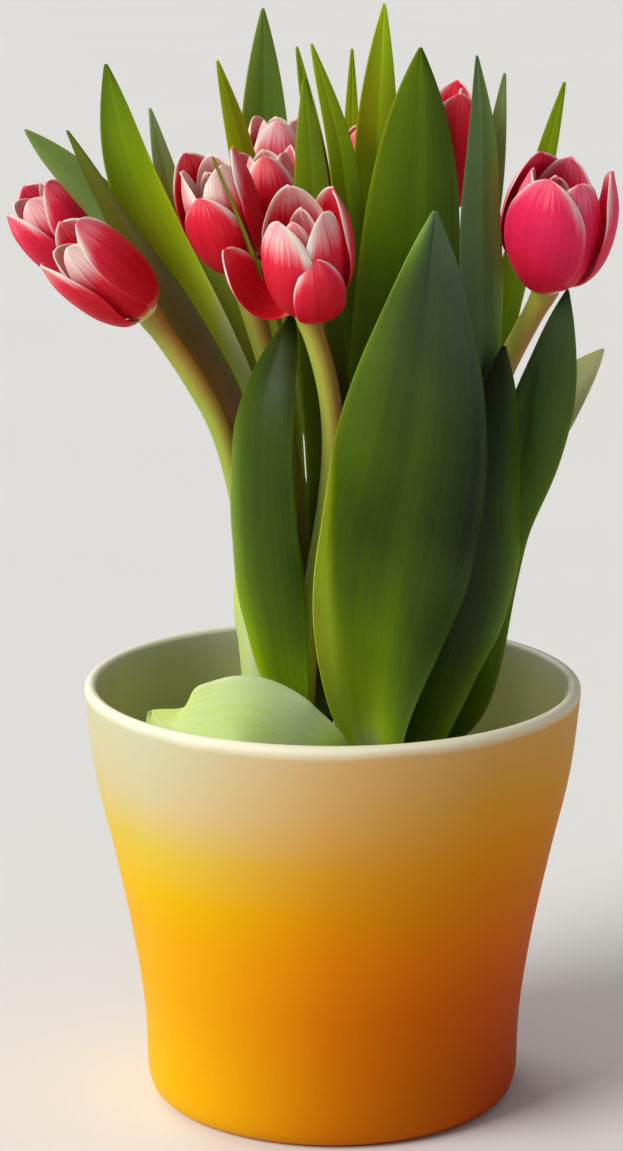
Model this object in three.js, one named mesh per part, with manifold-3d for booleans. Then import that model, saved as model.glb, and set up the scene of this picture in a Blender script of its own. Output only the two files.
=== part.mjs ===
// Nine pink-and-cream tulips growing in a flared ceramic pot.
//
// Millimetres, +Z up. The origin is the centre of the pot's foot, on the table.
// -Y is the side that the plants are seen from; +X is to the right from there.
import * as THREE from "three";
import { mergeVertices } from "three/addons/utils/BufferGeometryUtils.js";
import Module from "manifold-3d";

const wasm = await Module();
wasm.setup();

// ---------------------------------------------------------------- driving dimensions

const POT_HEIGHT = 138;
const RIM_RADIUS = 80;
const WALL = 4;
const POT_FLOOR = 6; // thickness of the pot's bottom
const FOOT_RADIUS = 55; // of the flat face that the pot stands on
const POT_SIDES = 48;

const SOIL_TOP = 100;
const GAP = 0.3; // running clearance between separate pieces
const HOLE_DEPTH = 24; // how deep a stem stands in the soil
const HOLE_SIDES = 10;
const HOLE_SPARE = 0.9; // room for the sheaths to spread as they rise out of a hole

const STEM_RADIUS = 3.7;
const STEM_SIDES = 8;
const RECEPTACLE_SIDES = 6;
const LEAF_THICKNESS = 0.8;
const PETAL_THICKNESS = 0.9;
const FIRST_SHEATH = STEM_RADIUS + 1.2; // radius of the innermost leaf's sheath
const SHEATH_STEP = 1.5; // each further layer clasps this much wider
const SHEATH_CUP = 1.15; // half-angle, in radians, that a sheath wraps

// ---------------------------------------------------------------- materials

const paint = (color, roughness) => new THREE.MeshStandardMaterial({ color, roughness, metalness: 0 });
const GLAZE = paint(0xd98a1c, 0.35);
const COMPOST = paint(0x3b2a1e, 0.95);
const STEM_GREEN = paint(0x93a148, 0.5);
const LEAF_GREEN = paint(0x4f7a2b, 0.45);
const PETAL_RED = paint(0xd8283f, 0.5);

// ---------------------------------------------------------------- small helpers

const clamp01 = (x) => Math.min(1, Math.max(0, x));
const mix = (a, b, t) => a + (b - a) * t;
const vec = (p) => new THREE.Vector3(p[0], p[1], p[2]);
const radians = THREE.MathUtils.degToRad;

function smooth(x) {
  const t = clamp01(x);
  return t * t * (3 - 2 * t);
}

function solidOf(geometry) {
  const bare = geometry.clone();
  bare.deleteAttribute("normal");
  bare.deleteAttribute("uv");
  const merged = mergeVertices(bare, 1e-4);
  const mesh = { numProp: 3, vertProperties: merged.attributes.position.array };
  const triVerts = new Uint32Array(merged.index.array);
  return new wasm.Manifold(new wasm.Mesh({ ...mesh, triVerts }));
}

function geometryOf(solid) {
  const { vertProperties, triVerts } = solid.getMesh();
  const geometry = new THREE.BufferGeometry();
  geometry.setAttribute("position", new THREE.BufferAttribute(vertProperties, 3));
  geometry.setIndex(new THREE.BufferAttribute(triVerts, 1));
  return geometry;
}

// A closed turned solid about +Z from [radius, height] points, axis to axis, base first.
function turned(profile, sides) {
  const points = profile.map(([r, z]) => new THREE.Vector2(r, z));
  return new THREE.LatheGeometry(points, sides).rotateX(Math.PI / 2);
}

function signedVolume(points, faces) {
  return faces.reduce((sum, [a, b, c]) => sum + points[a].dot(points[b].clone().cross(points[c])), 0);
}

// A closed geometry from points and triangles, turned so that its faces point outwards.
function closedGeometry(points, faces) {
  const outward = signedVolume(points, faces) > 0 ? faces : faces.map(([a, b, c]) => [a, c, b]);
  const geometry = new THREE.BufferGeometry();
  geometry.setAttribute("position", new THREE.Float32BufferAttribute(points.flatMap((p) => p.toArray()), 3));
  geometry.setIndex(outward.flat());
  return geometry;
}

function largestPiece(solid) {
  return solid.decompose().reduce((best, piece) => (piece.volume() > best.volume() ? piece : best));
}

// ---------------------------------------------------------------- thin blades: leaves and petals

// The curved cross-section of a blade at side position u (-1 to 1), for a half-width of 1.
// It starts flat at the midrib and turns up by the cup angle, plus a curl near either margin.
function section(u, cup, curl) {
  const STEPS = 8;
  const side = Math.sign(u);
  let across = 0;
  let rise = 0;
  let slope = 0;
  for (let k = 0; k < STEPS; k++) {
    const v = (Math.abs(u) * (k + 0.5)) / STEPS;
    slope = cup * v + curl * smooth((v - 0.4) / 0.6);
    across += (Math.abs(u) / STEPS) * Math.cos(slope);
    rise += (Math.abs(u) / STEPS) * Math.sin(slope);
  }
  return { across: side * across, rise, slope: side * slope };
}

// One closed thin blade along a spine. Functions of t, from 0 at the base to 1 at the tip, give
// its half-width, the cup of its section, where its inner face looks, the curl of its margins
// and their wave. grow thickens and widens it all round, for cutting clearance.
function bladeGeometry(blade, grow = 0) {
  const { spine, stations, cols, thickness, halfWidth, cup, facing, curl, wave } = blade;
  const rows = stations.length - 1;
  const half = thickness / 2 + grow;
  const inner = [];
  const outer = [];
  for (const t of stations) {
    const tangent = spine.getTangentAt(t);
    const ends = t === 0 ? -grow : t === 1 ? grow : 0;
    const centre = spine.getPointAt(t).addScaledVector(tangent, ends);
    const look = facing(t);
    const normal = look.addScaledVector(tangent, -look.dot(tangent)).normalize();
    const sideways = tangent.clone().cross(normal);
    const reach = halfWidth(t) + grow;
    for (let j = 0; j <= cols; j++) {
      const u = (2 * j) / cols - 1;
      const { across, rise, slope } = section(u, cup(t), curl(t, u));
      const lift = rise * reach + wave(t, u);
      const point = centre.clone().addScaledVector(sideways, across * reach);
      point.addScaledVector(normal, lift);
      const skin = normal.clone().multiplyScalar(Math.cos(slope)).addScaledVector(sideways, -Math.sin(slope));
      inner.push(point.clone().addScaledVector(skin, half));
      outer.push(point.clone().addScaledVector(skin, -half));
    }
  }
  return closedGeometry([...inner, ...outer], bladeFaces(rows, cols));
}

// The triangles of a blade: both faces split alike, then the two margins and the two ends.
function bladeFaces(rows, cols) {
  const back = (rows + 1) * (cols + 1);
  const at = (i, j) => i * (cols + 1) + j;
  const faces = [];
  const quad = (a, b, c, d) => faces.push([a, b, c], [a, c, d]);
  for (let i = 0; i < rows; i++)
    for (let j = 0; j < cols; j++) {
      const [a, b, c, d] = [at(i, j), at(i, j + 1), at(i + 1, j + 1), at(i + 1, j)];
      quad(a, b, c, d);
      faces.push([back + a, back + c, back + b], [back + a, back + d, back + c]);
    }
  for (let i = 0; i < rows; i++) {
    quad(at(i, 0), at(i + 1, 0), back + at(i + 1, 0), back + at(i, 0));
    quad(at(i + 1, cols), at(i, cols), back + at(i, cols), back + at(i + 1, cols));
  }
  for (let j = 0; j < cols; j++) {
    quad(at(0, j + 1), at(0, j), back + at(0, j), back + at(0, j + 1));
    quad(at(rows, j), at(rows, j + 1), back + at(rows, j + 1), back + at(rows, j));
  }
  return faces;
}

const spineThrough = (points) => new THREE.CatmullRomCurve3(points.map(vec), false, "centripetal");

// ---------------------------------------------------------------- pot

// The outer wall from the foot's corner to just under the lip, as [radius, height].
const POT_WALL = [
  [60.8, 8], [61.6, 28], [65.4, 55], [71.1, 83], [77.1, 110], [RIM_RADIUS, POT_HEIGHT - 3],
];
const wallCurve = new THREE.SplineCurve(POT_WALL.map(([r, z]) => new THREE.Vector2(r, z)));

// Outer radius of the pot at a height, from the wall's curve.
function potRadius(z) {
  const SAMPLES = 200;
  const points = wallCurve.getPoints(SAMPLES);
  const above = points.findIndex((p) => p.y >= z);
  return points[above < 0 ? SAMPLES : above].x;
}

function potSolid() {
  const WALL_POINTS = 5;
  const outer = wallCurve.getPoints(WALL_POINTS).map((p) => [p.x, p.y]);
  const lip = [[-0.9, 2.1], [-2, 3], [-3.1, 2.1]].map(([r, z]) => [RIM_RADIUS + r, POT_HEIGHT - 3 + z]);
  const inner = outer.filter((_, k) => k % 2 === 0 || k === 5).map(([r, z]) => [r - WALL, z]).reverse();
  const profile = [
    [0, 0],
    [FOOT_RADIUS, 0],
    [FOOT_RADIUS + 3.9, 2.4],
    ...outer,
    ...lip,
    ...inner.slice(0, -1),
    [POT_WALL[0][0] - WALL, POT_FLOOR + 3],
    [POT_WALL[0][0] - WALL - 3, POT_FLOOR],
    [0, POT_FLOOR],
  ];
  return solidOf(turned(profile, POT_SIDES));
}

// ---------------------------------------------------------------- soil

const soilRadius = (z) => (potRadius(z) - WALL) * Math.cos(Math.PI / POT_SIDES) - GAP;

function soilSolid(feet) {
  const profile = [[0, POT_FLOOR + GAP], [50, POT_FLOOR + GAP]];
  for (const z of [14, 38, 68, SOIL_TOP - 3]) profile.push([soilRadius(z) - 1.2, z]);
  profile.push([soilRadius(SOIL_TOP) - 6, SOIL_TOP], [0, SOIL_TOP]);
  const HOLE_TALL = HOLE_DEPTH + 10;
  const holes = feet.map(({ at: [x, y], radius }) => {
    const hole = new THREE.CylinderGeometry(radius, radius, HOLE_TALL, HOLE_SIDES);
    return solidOf(hole.rotateX(Math.PI / 2).translate(x, y, SOIL_TOP - HOLE_DEPTH + HOLE_TALL / 2));
  });
  return solidOf(turned(profile, POT_SIDES / 2)).subtract(wasm.Manifold.union(holes));
}

// ---------------------------------------------------------------- plants

// Where each plant stands in the soil, how many layers of leaves clasp it there, the bends of its
// stem and its bloom. Outer petals stand every 120 degrees from spin and middle ones between them.
// open lists how far, in degrees, each outer and then each middle petal leans out. Where a petal
// isn't like its fellows, nudge turns it about the bloom's axis and tall and wide scale it.
const PLANTS = {
  far_left: {
    foot: [-20, 18],
    layers: 1,
    bends: [[-20, 23, 150], [-23, 29, 200], [-41, 33, 238]],
    bloom: { base: [-79, 31, 267], tip: [-98, 24, 292], radius: 11.6, spin: 215, open: [4, 2, 5, 0, 2, 0] },
  },
  left: {
    foot: [-21, -8],
    layers: 1,
    bends: [[-22, -8, 150], [-26, -8, 183], [-35, -8, 221], [-45, -9, 240]],
    bloom: {
      base: [-58, -9, 259], tip: [-83, -21, 285], radius: 11.8, spin: -148, open: [7, 0, 4, 3, 2, 3],
      tall: [1.02, 1.04, 1, 1, 0.96, 0.94], wide: [0.9, 0.84, 1, 0.9],
    },
  },
  centre_left: {
    foot: [-5, 5],
    layers: 2,
    bends: [[-10, 6, 160], [-17, 7, 225]],
    bloom: {
      base: [-30, 4, 271], tip: [-40, -6, 306], radius: 11.8, spin: -112, open: [5, 3, 4, 2, 0, 3],
      tall: [0.8, 1.04, 1.04, 1, 1, 1],
    },
  },
  front: {
    foot: [-10, -22],
    layers: 1,
    bends: [[-8, -23, 156], [-1, -24, 203], [0, -24, 223], [-2, -23, 240]],
    bloom: {
      base: [-8, -22, 261], tip: [-11, -38, 298], radius: 14.6, spin: 42, open: [6, 40, 8, 4, 3, 3],
      nudge: [-12, 0, 9, 0, 8, -12], tall: [1, 0.74, 0.66, 1.02, 0.94, 0.96],
      wide: [0.9, 0.66, 0.58, 1, 1, 0.9],
    },
  },
  middle: {
    foot: [12, 9],
    layers: 2,
    bends: [[5, 12, 155], [-6, 18, 215]],
    bloom: { base: [-16, 24, 268], tip: [-22, 21, 306], radius: 10.5, spin: 150, open: [4, 3, 5, 0, 2, 1] },
  },
  back_left: {
    foot: [-9, 35],
    layers: 2,
    bends: [[-12, 38, 160], [-16, 43, 225]],
    bloom: { base: [-18, 48, 278], tip: [-18, 47, 314], radius: 9.8, spin: -90, open: [2, 2, 3, 1, 1, 0] },
  },
  back: {
    foot: [13, 35],
    layers: 3,
    bends: [[12, 37, 160], [11, 41, 225]],
    bloom: { base: [11, 43, 274], tip: [11, 43, 312], radius: 10.5, spin: 60, open: [4, 2, 5, 2, 0, 2] },
  },
  back_right: {
    foot: [32, 17],
    layers: 2,
    bends: [[32, 20, 160], [32, 25, 225]],
    bloom: { base: [32, 28, 284], tip: [33, 24, 327], radius: 12.4, spin: -60, open: [8, 9, 3, 3, 5, 2] },
  },
  right: {
    foot: [25, -8],
    layers: 2,
    bends: [[30, -5, 155], [41, -1, 200], [52, -1, 235]],
    bloom: {
      base: [67, -4, 266], tip: [70, -21, 306], radius: 15.8, spin: -115, open: [0, 9, 2, 3, 2, 2],
      wide: [1, 0.8],
    },
  },
};

function stemSolid({ foot: [x, y], bends, bloom }, grow = 0) {
  const top = vec(bloom.base);
  const rise = top.clone().sub(vec(bends.at(-1))).normalize();
  const end = top.addScaledVector(rise, grow).toArray();
  const path = spineThrough([[x, y, SOIL_TOP - HOLE_DEPTH + 1], [x, y, SOIL_TOP + 6], ...bends, end]);
  const ring = new THREE.Shape();
  const radius = STEM_RADIUS + grow;
  for (let k = 0; k < STEM_SIDES; k++) {
    const a = (2 * Math.PI * k) / STEM_SIDES;
    ring[k ? "lineTo" : "moveTo"](radius * Math.cos(a), radius * Math.sin(a));
  }
  ring.closePath();
  return solidOf(new THREE.ExtrudeGeometry(ring, { steps: 8, extrudePath: path, bevelEnabled: false }));
}

// ---------------------------------------------------------------- blooms

// A closed bloom from the side: [distance from the axis in belly radii, height in bloom heights].
const BULB_SIDE = [[0, 0.02], [0.5, 0.08], [0.88, 0.25], [1.0, 0.47], [0.88, 0.76], [0.48, 1]];
const HINGE_HEIGHT = 3; // a leaning petal swings about this point in the receptacle
const TWIST = 0.7; // one margin of a petal lies this far in and the other this far out, so they overlap
// The three whorls, each inside the last: scale of the belly and height, distance of the root from
// the axis, half-width in belly radii, and the stations and columns of the petal's mesh.
const OUTER = { scale: 1, tall: 1, root: 3.6, wide: 1.06, stations: [0, 0.3, 0.6, 0.86, 1], cols: 4 };
const MIDDLE = { scale: 0.82, tall: 0.98, root: 2.2, wide: 0.94, stations: [0, 0.38, 0.74, 1], cols: 4 };
const HEART = { scale: 0.5, tall: 0.86, root: 1, wide: 0.5, stations: [0, 0.6, 1], cols: 2 };

// One petal: a patch of the closed bloom's skin, tipped outwards about its root by the lean.
function petal(whorl, bloomRadius, bloomHeight, turn, lean, tall, wide) {
  const radius = bloomRadius * whorl.scale;
  const height = bloomHeight * whorl.tall * tall;
  const outwards = radius - whorl.root;
  const skin = BULB_SIDE.map(([r, z]) => new THREE.Vector2(whorl.root + r * outwards, z * height));
  const side = new THREE.SplineCurve(skin);
  const widest = bloomRadius * whorl.wide * wide;
  const WIDEST_AT = 0.55;
  const TIP = 1.6;
  const halfWidth = (t) =>
    t < WIDEST_AT
      ? mix(2.2, widest, Math.sin((Math.PI / 2) * (t / WIDEST_AT)))
      : TIP + (widest - TIP) * (1 - ((t - WIDEST_AT) / (1 - WIDEST_AT)) ** 2.6) ** 0.7;
  const outward = vec([Math.cos(turn), Math.sin(turn), 0]);
  const tilt = new THREE.Quaternion().setFromAxisAngle(vec([-outward.y, outward.x, 0]), radians(lean));
  const hinge = outward.clone().multiplyScalar(whorl.root).setZ(HINGE_HEIGHT);
  const upright = skin.map(({ x, y }) => outward.clone().multiplyScalar(x).setZ(y));
  const points = upright.map((point) => point.sub(hinge).applyQuaternion(tilt).add(hinge));
  const inward = outward.clone().negate().applyQuaternion(tilt);
  return {
    spine: new THREE.CatmullRomCurve3(points, false, "centripetal"),
    stations: whorl.stations,
    cols: whorl.cols,
    thickness: PETAL_THICKNESS,
    halfWidth,
    cup: (t) => Math.min(1.25, halfWidth(t) / side.getPointAt(t).x),
    facing: () => inward.clone(),
    curl: () => 0,
    wave: (t, u) => TWIST * u * smooth(t / 0.4) + 0.4 * u * u * Math.sin(7 * t + 3 * turn),
  };
}

// The petals of one bloom, standing on the origin along +Z.
function petalsOf({ radius, spin, open, nudge = [], tall = [], wide = [] }, height) {
  const one = (kind, azimuth, lean, k) =>
    petal(kind, radius, height, radians(azimuth + (nudge[k] ?? 0)), lean, tall[k] ?? 1, wide[k] ?? 1);
  return [
    ...[0, 1, 2].map((k) => one(OUTER, spin + 120 * k, open[k], k)),
    ...[3, 4, 5].map((k) => one(MIDDLE, spin + 60 + 120 * k, open[k], k)),
    ...[6, 7].map((k) => one(HEART, spin + 30 + 180 * k, 0, k)),
  ];
}

// A bloom: its petals, fused to the round receptacle that they grow from.
function bloomSolid({ base, tip, ...bloom }, grow = 0) {
  const axis = vec(tip).sub(vec(base));
  const height = axis.length();
  const RECEPTACLE = [[0, GAP - grow], [3.8 + grow, GAP - grow], [5.2 + grow, 4.5], [0, 5.5 + grow]];
  const seat = turned(RECEPTACLE, RECEPTACLE_SIDES);
  const petals = petalsOf(bloom, height).map((one) => bladeGeometry(one, grow));
  const upright = new THREE.Quaternion().setFromUnitVectors(new THREE.Vector3(0, 0, 1), axis.normalize());
  const place = new THREE.Matrix4().compose(vec(base), upright, new THREE.Vector3(1, 1, 1));
  return largestPiece(wasm.Manifold.union([seat, ...petals].map((g) => solidOf(g.applyMatrix4(place)))));
}

// ---------------------------------------------------------------- leaves

// Each leaf clasps a foot in the soil at one compass side, in degrees from +X towards +Y, and
// rises through its points to its tip. layer counts outwards from the stem. width is the blade's
// greatest, which it has at the share widest of its length, and blunt tells how late it narrows to
// its tip. look is where the inner face points at the middle and the tip, and cup is the half-angle
// of its section there. curl rolls one or both margins in, tilt aims the inner face up or down, and
// both margins wave gently from the sheath to the tip.
const BLIND_FOOT = [14, -26]; // a bulb with one broad leaf and no flower
const LEAVES = {
  far_left: {
    foot: "far_left", side: 215, layer: 0, width: 15, cup: [0.5, 0.4], look: [60, 70], widest: 0.7,
    points: [
      [-22, 17, 150], [-21, 20, 195], [-26, 23, 218], [-37, 24, 241],
      [-58, 21, 271], [-79, 16, 295], [-97, 10, 314],
    ],
  },
  left_stem: {
    foot: "left", side: 40, layer: 0, width: 18, cup: [0.6, 0.4], look: [235, 225],
    points: [[-16, -3, 150], [-21, 0, 190], [-31, 3, 222], [-46, 4, 253], [-64, 3, 282], [-83, -2, 315]],
  },
  left_sheath: {
    foot: "left", side: -120, layer: 0, width: 17, cup: [0.8, 0.7], look: [60, 60], widest: 0.6, blunt: 3,
    points: [[-24, -14, 135], [-26, -15, 160], [-29, -15, 184]],
  },
  left_tall: {
    foot: "centre_left", side: 160, layer: 0, width: 20, cup: [0.5, 0.35], look: [-95, -95], widest: 0.5,
    points: [
      [-16, 11, 140], [-21, 14, 175], [-27, 15, 212], [-40, 14, 245],
      [-55, 11, 278], [-65, 8, 305], [-71, 4, 335],
    ],
  },
  left_inner: {
    foot: "centre_left", side: 90, layer: 1, width: 13, cup: [0.45, 0.4], look: [-80, -75],
    points: [
      [-10, 17, 145], [-13, 25, 185], [-21, 27, 221], [-31, 27, 244],
      [-41, 25, 267], [-51, 21, 290], [-58, 17, 320],
    ],
  },
  front_left: {
    foot: "front", side: 200, layer: 0, width: 27, cup: [0.6, 0.45], look: [60, 50],
    widest: 0.6, blunt: 2.8,
    points: [
      [-15, -26, 134], [-19, -29, 160], [-23, -30, 186],
      [-24, -30, 211], [-21, -26, 236], [-13, -14, 260],
    ],
  },
  front_large: {
    foot: BLIND_FOOT, side: 70, layer: 0, width: 55, cup: [0.45, 0.3], look: [-90, -82], curl: [1, 0],
    widest: 0.5, blunt: 2,
    points: [
      [12, -27, 138], [13, -33, 165], [17, -38, 193],
      [23, -40, 222], [27, -38, 253], [31, -33, 294],
    ],
  },
  drooping: {
    foot: BLIND_FOOT, side: -110, layer: 0, width: 37, cup: [0.4, 0.3], look: [80, 70], tilt: -35,
    widest: 0.66, blunt: 3,
    points: [
      [5, -39, 112], [-10, -46, 126], [-27, -48, 136],
      [-41, -44, 133], [-51, -37, 131], [-57, -31, 136],
    ],
  },
  thin_front: {
    foot: "centre_left", side: -60, layer: 0, width: 8, cup: [0.6, 0.6], look: [30, 10],
    points: [
      [-9, -4, 140], [-13, -8, 180], [-14, -10, 215], [-18, -8, 249],
      [-22, -9, 265], [-26, -13, 280], [-37, -20, 309],
    ],
  },
  centre_upright: {
    foot: "front", side: 60, layer: 0, width: 16, cup: [0.5, 0.35], look: [-95, -100],
    points: [[-2, -10, 140], [0, -4, 180], [-2, 0, 229], [-5, 1, 267], [-7, 1, 302], [-9, 0, 331]],
  },
  centre_striped: {
    foot: "middle", side: 40, layer: 0, width: 12, cup: [0.5, 0.45], look: [-80, -70],
    points: [[16, 16, 145], [13, 20, 200], [7, 23, 260], [2, 22, 306], [-7, 20, 340]],
  },
  back_tallest: {
    foot: "middle", side: 75, layer: 1, width: 18, cup: [0.5, 0.4], look: [-100, -95],
    points: [[14, 23, 145], [14, 28, 185], [14, 30, 220], [14, 30, 260], [14, 30, 310], [16, 28, 352]],
  },
  back_left_narrow: {
    foot: "back_left", side: -80, layer: 0, width: 13, cup: [0.5, 0.45], look: [110, 120],
    points: [[-11, 29, 150], [-15, 31, 200], [-20, 34, 255], [-28, 34, 300], [-37, 28, 334]],
  },
  back_left_tall: {
    foot: "back_left", side: 90, layer: 0, width: 21, cup: [0.5, 0.35], look: [-80, -80],
    points: [[-16, 45, 150], [-20, 53, 200], [-22, 61, 255], [-23, 64, 302], [-23, 61, 348]],
  },
  back_slim: {
    foot: "back_left", side: 20, layer: 1, width: 9, cup: [0.5, 0.4], look: [-90, -90],
    points: [[2, 43, 150], [1, 52, 220], [-4, 58, 290], [-12, 56, 336]],
  },
  back_tip: {
    foot: "back", side: 110, layer: 0, width: 8, cup: [0.4, 0.35], look: [-90, -90],
    points: [[10, 44, 150], [7, 54, 220], [6, 60, 290], [6, 60, 335]],
  },
  back_right_slim: {
    foot: "back", side: 10, layer: 1, width: 11, cup: [0.45, 0.4], look: [-95, -90],
    points: [[23, 38, 150], [36, 42, 220], [50, 44, 285], [55, 40, 329]],
  },
  right_broad: {
    foot: "right", side: 110, layer: 0, width: 35, cup: [0.5, 0.3], look: [-92, -90],
    points: [
      [21, 0, 140], [19, 6, 175], [20, 9, 205], [22, 10, 240],
      [24, 9, 273], [26, 8, 308], [27, 6, 340],
    ],
  },
  right_tall: {
    foot: "right", side: -40, layer: 0, width: 16, cup: [0.5, 0.45], look: [120, 110],
    points: [
      [34, -12, 145], [39, -13, 180], [44, -14, 215], [47, -15, 257],
      [46, -14, 291], [46, -12, 315], [44, -10, 339],
    ],
  },
  behind_right_bloom: {
    foot: "right", side: 60, layer: 1, width: 11, cup: [0.5, 0.45], look: [-100, -100],
    points: [[34, 7, 150], [45, 14, 205], [55, 19, 256], [64, 21, 290], [73, 20, 328]],
  },
  lower_right: {
    foot: "back_right", side: -80, layer: 1, width: 23, cup: [0.5, 0.4], look: [60, 60],
    widest: 0.7, blunt: 2.6,
    points: [[42, 0, 130], [47, -7, 160], [52, -12, 192], [61, -14, 218], [67, -14, 240], [73, -13, 267]],
  },
  lower_right_pale: {
    foot: "back_right", side: 20, layer: 0, width: 21, cup: [0.55, 0.4], look: [-120, -120],
    widest: 0.7, blunt: 3,
    points: [[43, 18, 140], [48, 16, 170], [58, 13, 205], [72, 9, 227], [86, 6, 245]],
  },
  right_dark: {
    foot: "right", side: -80, layer: 1, width: 31, cup: [0.5, 0.4], look: [120, 115],
    widest: 0.55, blunt: 2.4,
    points: [
      [32, -21, 130], [41, -24, 155], [47, -25, 182],
      [49, -24, 208], [51, -20, 230], [53, -17, 250],
    ],
  },
  rear_centre: {
    foot: "back", side: 80, layer: 2, width: 21, cup: [0.6, 0.4], look: [-90, -90],
    points: [[14, 50, 140], [13, 62, 180], [10, 73, 222], [6, 84, 260]],
  },
  rear_right: {
    foot: "back_right", side: 60, layer: 1, width: 20, cup: [0.6, 0.4], look: [-105, -110],
    points: [[38, 32, 140], [44, 47, 180], [47, 60, 220], [48, 72, 254]],
  },
};
const LEAF_STATIONS = [0, 0.1, 0.25, 0.42, 0.6, 0.77, 0.91, 1];
const LEAF_COLS = 4;

const footOf = (leaf) => (typeof leaf.foot === "string" ? PLANTS[leaf.foot].foot : leaf.foot);
const compass = (degrees) => new THREE.Vector3(Math.cos(radians(degrees)), Math.sin(radians(degrees)), 0);

function leafBlade(leaf) {
  const { side, layer, width, cup, look, points, curl = [0, 0], widest = 0.38, blunt = 5, tilt = 0 } = leaf;
  const [x, y] = footOf(leaf);
  const out = compass(side);
  const wrap = FIRST_SHEATH + SHEATH_STEP * layer;
  const rooted = (z) => [x + wrap * out.x, y + wrap * out.y, z];
  const spine = spineThrough([rooted(SOIL_TOP - 10), rooted(SOIL_TOP), rooted(SOIL_TOP + 9), ...points]);
  const BARE = 0.14; // share of the length over which the sheath opens
  const ripple = 0.045 * width;
  const look0 = out.clone().negate();
  const lookMiddle = compass(look[0]);
  const lookTip = compass(look[1]);
  lookMiddle.z = lookTip.z = Math.tan(radians(tilt));
  return {
    spine,
    stations: LEAF_STATIONS,
    cols: LEAF_COLS,
    thickness: LEAF_THICKNESS,
    halfWidth: (t) =>
      t < widest
        ? mix(wrap * SHEATH_CUP, width / 2, smooth(t / widest))
        : 0.6 + (width / 2 - 0.6) * (1 - ((t - widest) / (1 - widest)) ** blunt),
    cup: (t) =>
      mix(mix(SHEATH_CUP, cup[0], smooth((t - 0.06) / (BARE * 2))), cup[1], smooth((t - 0.4) / 0.6)),
    facing: (t) =>
      look0.clone().lerp(lookMiddle, smooth((t - 0.06) / 0.3)).lerp(lookTip, smooth((t - 0.4) / 0.6)),
    curl: (t, u) => curl[u < 0 ? 0 : 1] * smooth(t / 0.3) * smooth((0.75 - t) / 0.25),
    wave: (t, u) => ripple * u * u * smooth((t - 0.15) / 0.2) * Math.sin(14 * t + side + (u < 0 ? 2 : 0)),
  };
}

const leafSolid = (leaf, grow = 0) => solidOf(bladeGeometry(leafBlade(leaf), grow));

// ---------------------------------------------------------------- assembly

const group = new THREE.Group();
const placed = []; // each finished piece with a slightly larger copy of itself

function add(name, material, solid, larger) {
  const mesh = new THREE.Mesh(geometryOf(solid), material);
  mesh.name = name;
  group.add(mesh);
  placed.push({ name, solid, larger });
}

// Bends no blade: it only takes off what would touch a piece that is already there.
function clearOf(solid) {
  let free = solid;
  for (const { larger } of placed) {
    if (larger && free.intersect(larger).volume() > 0) free = largestPiece(free.subtract(larger));
  }
  return free;
}

// The hole that takes a stem and its layers of leaves without touching them.
function holeRadius(layers) {
  const sheaths = FIRST_SHEATH + SHEATH_STEP * (layers - 1) + LEAF_THICKNESS / 2 + GAP;
  return sheaths / Math.cos(Math.PI / HOLE_SIDES) + HOLE_SPARE;
}

const feet = Object.values(PLANTS).map(({ foot, layers }) => ({ at: foot, radius: holeRadius(layers) }));
feet.push({ at: BLIND_FOOT, radius: holeRadius(1) });

add("pot", GLAZE, potSolid());
add("soil", COMPOST, soilSolid(feet));
for (const [name, plant] of Object.entries(PLANTS))
  add(`stem_${name}`, STEM_GREEN, stemSolid(plant), stemSolid(plant, GAP));
for (const [name, { bloom }] of Object.entries(PLANTS))
  add(`bloom_${name}`, PETAL_RED, clearOf(bloomSolid(bloom)), bloomSolid(bloom, GAP));
for (const [name, leaf] of Object.entries(LEAVES))
  add(`leaf_${name}`, LEAF_GREEN, clearOf(leafSolid(leaf)), leafSolid(leaf, GAP));

export default group;
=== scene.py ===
# %% [markdown]
# # Tulips in a glazed pot
# Nine pink-and-cream tulips stand close together in a flared pot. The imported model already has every
# stem, leaf and bloom in its place, as plain faceted solids. Here each one gets a finer mesh that
# follows the same path, and a finish of its own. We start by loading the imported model.

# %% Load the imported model
import math
import random
from bisect import bisect_right

import bpy
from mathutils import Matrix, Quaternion, Vector, noise


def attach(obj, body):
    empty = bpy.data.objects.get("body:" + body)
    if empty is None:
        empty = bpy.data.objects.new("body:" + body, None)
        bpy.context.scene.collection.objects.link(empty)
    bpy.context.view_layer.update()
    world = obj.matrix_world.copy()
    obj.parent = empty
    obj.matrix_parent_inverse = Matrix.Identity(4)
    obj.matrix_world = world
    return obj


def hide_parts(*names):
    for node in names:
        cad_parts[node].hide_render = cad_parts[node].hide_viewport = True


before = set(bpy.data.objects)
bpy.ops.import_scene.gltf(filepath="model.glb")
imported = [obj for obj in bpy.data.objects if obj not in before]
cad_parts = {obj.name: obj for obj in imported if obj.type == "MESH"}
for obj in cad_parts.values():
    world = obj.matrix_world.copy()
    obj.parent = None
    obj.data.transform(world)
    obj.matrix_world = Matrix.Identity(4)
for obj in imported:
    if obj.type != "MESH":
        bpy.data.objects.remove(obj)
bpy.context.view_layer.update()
MM = 0.001
print("packed pieces:", len(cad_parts))

# %% [markdown]
# ## Small helpers
# Operators act on all that is selected, so each step starts with nothing selected. A finished piece
# rides on the model's one body and stands for the plain solids of the same name.


# %% Helpers for every piece
def select_only(*objects):
    bpy.ops.object.select_all(action="DESELECT")
    for each in objects:
        each.select_set(True)
    bpy.context.view_layer.objects.active = objects[0]


def new_primitive(add, name, **sizes):
    bpy.ops.object.select_all(action="DESELECT")
    add(**sizes)
    piece = bpy.context.object
    piece.name = piece.data.name = name
    return piece


def apply_modifier(piece, kind, **settings):
    modifier = piece.modifiers.new(kind.title(), kind)
    for key, value in settings.items():
        setattr(modifier, key, value)
    select_only(piece)
    bpy.ops.object.modifier_apply(modifier=modifier.name)


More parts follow.
